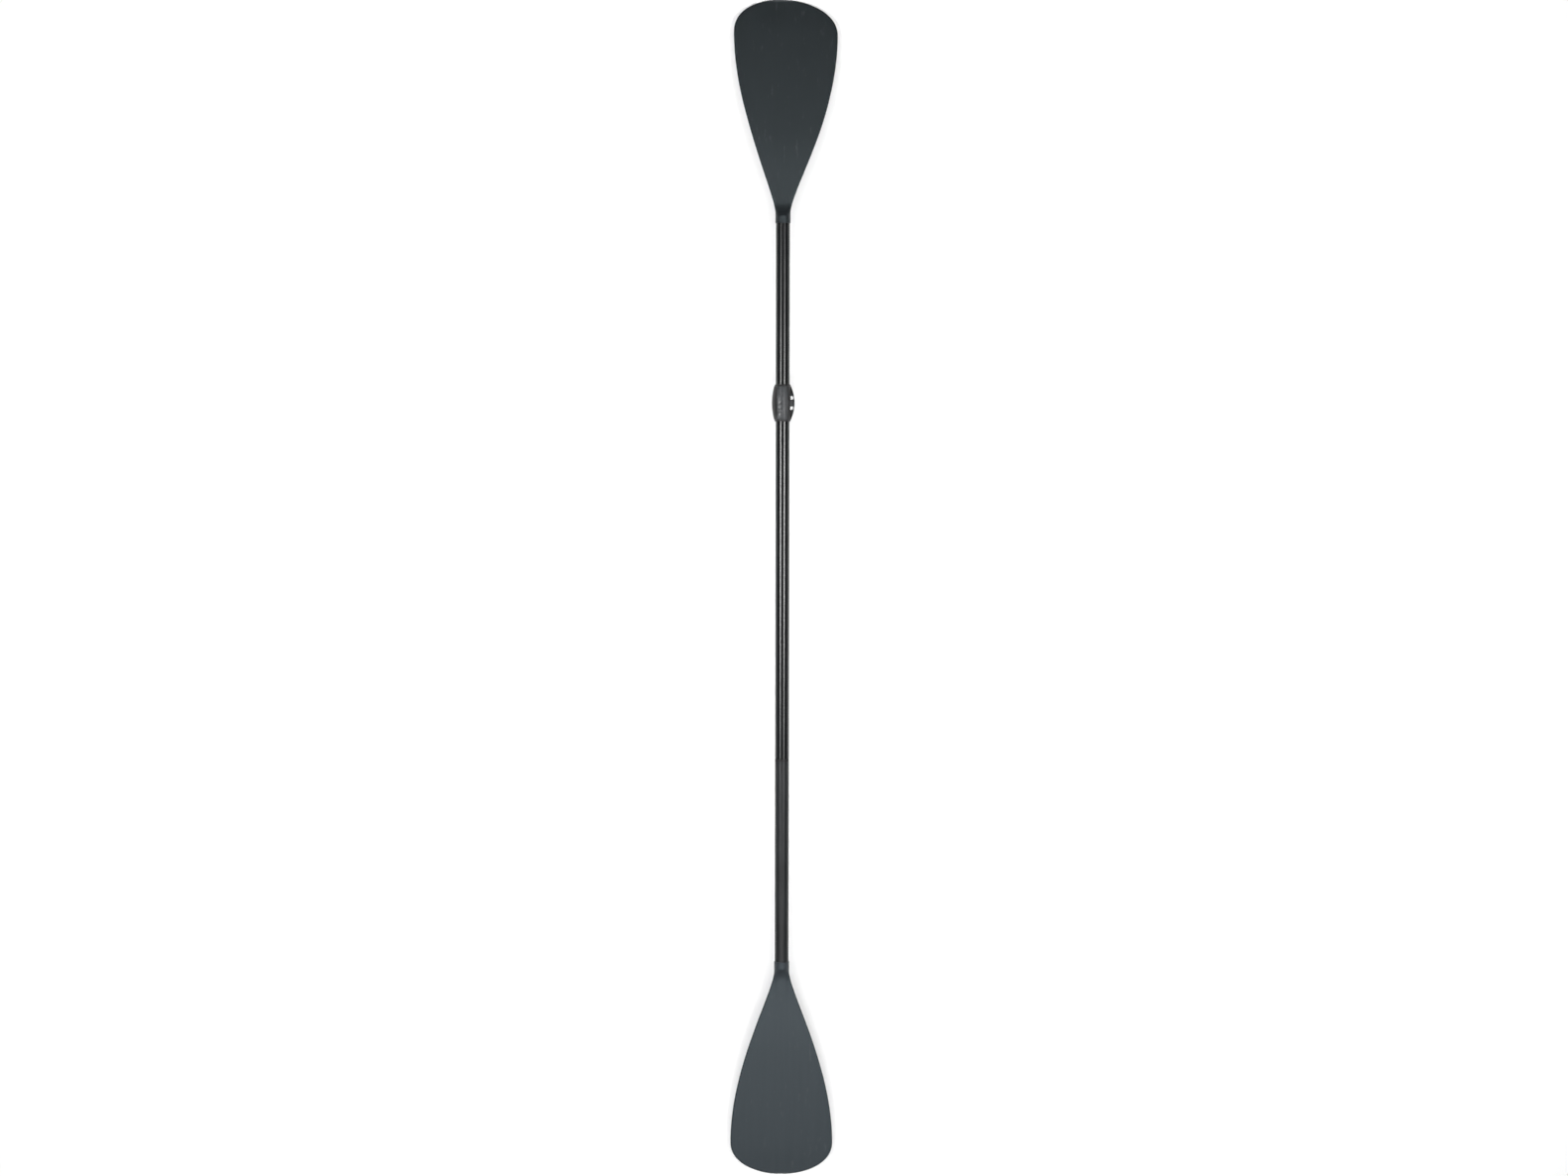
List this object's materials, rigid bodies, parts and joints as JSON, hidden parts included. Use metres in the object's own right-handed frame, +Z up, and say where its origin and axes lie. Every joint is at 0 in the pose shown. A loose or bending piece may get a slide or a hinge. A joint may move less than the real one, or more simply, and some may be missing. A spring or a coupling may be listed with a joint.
{
  "type": "kayak paddle",
  "caption": "Take-apart kayak paddle: alloy shaft with a raked, dished blade at each end, lever clamp for length and feather angle, and a snap-button joint.",
  "frame": {"origin": "midway between the blade tips, on the surface that the tips rest on, under the shaft's axis", "axes": "+X along the shaft from the snap-button end to the clamp end, +Z up out of the power faces, +Y across"},
  "size_m": [2.3645, 0.211, 0.0749],
  "materials": {
    "upper_blade_plastic": "satin moulded plastic, dark grey",
    "lower_blade_plastic": "satin moulded plastic, mid grey",
    "rivet": "satin aluminium",
    "gloss_tube": "gloss black anodised",
    "satin_tube": "satin black anodised",
    "bare_alloy": "drawn, natural",
    "black_nylon": "moulded",
    "natural_nylon": "turned",
    "steel": "plated",
    "polished_steel": "polished",
    "clamp_nylon": "fine moulded texture",
    "lever_nylon": "fine moulded texture",
    "joint_nylon": "moulded",
    "foam": "closed-cell foam"
  },
  "bodies": {
    "middle_section": {"middle_tube": "gloss_tube", "clamp_collar": "clamp_nylon", "clamp_pin": "polished_steel", "clamp_bolts": "steel", "wear_pad": "steel"},
    "clamp_lever": {"clamp_lever": "lever_nylon"},
    "guide_bush": {"guide_bush": "natural_nylon"},
    "upper_section": {"upper_blade": "upper_blade_plastic", "upper_blade_rivet": "rivet", "upper_tube": "gloss_tube", "spigot_tube": "bare_alloy", "spigot_plug": "black_nylon", "bush_screw": "steel"},
    "lower_section": {"joint_ring": "joint_nylon", "ferrule": "bare_alloy", "ferrule_plug": "foam", "snap_spring": "steel", "lower_tube": "satin_tube", "lower_blade": "lower_blade_plastic", "lower_blade_rivet": "rivet"},
    "snap_button": {"snap_button": "polished_steel"}
  },
  "joints": [
    {"name": "lever_open", "type": "hinge", "parent": "middle_section", "child": "clamp_lever", "pos_m": [0.38175, -0.0173, 0.06449], "axis": [1, 0, 0], "range_deg": [0, 150]},
    {"name": "length_adjust", "type": "slide", "parent": "middle_section", "child": "guide_bush", "axis": [1, 0, 0], "range_m": [0, 0.15]},
    {"name": "feather_turn", "type": "hinge", "parent": "guide_bush", "child": "upper_section", "pos_m": [0.1745, 0, 0.04999], "axis": [1, 0, 0], "continuous": true},
    {"name": "lower_pull", "type": "slide", "parent": "middle_section", "child": "lower_section", "axis": [-1, 0, 0], "range_m": [0, 0.12], "deforming": ["snap_button"]},
    {"name": "button_press", "type": "slide", "parent": "lower_section", "child": "snap_button", "axis": [0, 0, 1], "range_m": [0, 0.0043], "stiffness_N_per_m": 1500, "springref_m": -0.002, "deforming": ["snap_spring"]}
  ]
}
